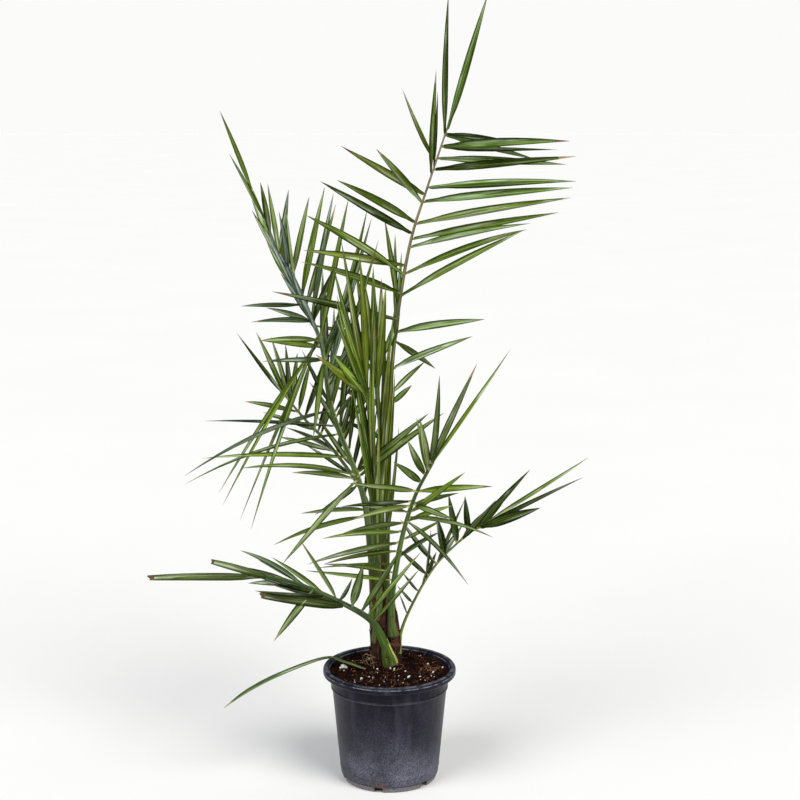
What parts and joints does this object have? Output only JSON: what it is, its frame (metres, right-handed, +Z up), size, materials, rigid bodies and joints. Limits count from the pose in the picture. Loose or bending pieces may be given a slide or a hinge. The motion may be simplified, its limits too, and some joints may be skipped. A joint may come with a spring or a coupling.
{
  "type": "potted date palm",
  "caption": "Young date palm: arching feather fronds with narrow folded leaflets on a short fibrous stem, in soil in a round tapered black nursery pot.",
  "frame": {"origin": "centre of the pot's flat underside", "axes": "+Z up; +X to the viewer's right and -Y towards the viewer when the plant is seen as it was drawn, its tallest frond leaning right and the old leaf over the rim at the left"},
  "size_m": [0.7109, 0.4386, 1.2896],
  "materials": {
    "pot_plastic": "satin black plastic, dusty low down",
    "potting_soil": "crumbly dark soil",
    "stem_fibre": "rough brown fibre",
    "frond_green": "waxy mid green",
    "frond_young_green": "waxy yellow green",
    "frond_grey_green": "waxy grey green"
  },
  "bodies": {
    "root": {"pot": "pot_plastic", "soil": "potting_soil", "trunk": "stem_fibre", "frond_tall_right": "frond_green", "frond_tall_left": "frond_green", "frond_back_left": "frond_green", "frond_young": "frond_young_green", "frond_spear": "frond_young_green", "frond_mid_right": "frond_green", "frond_low_right": "frond_green", "frond_low_left": "frond_grey_green", "loose_leaf": "frond_grey_green"}
  },
  "joints": []
}
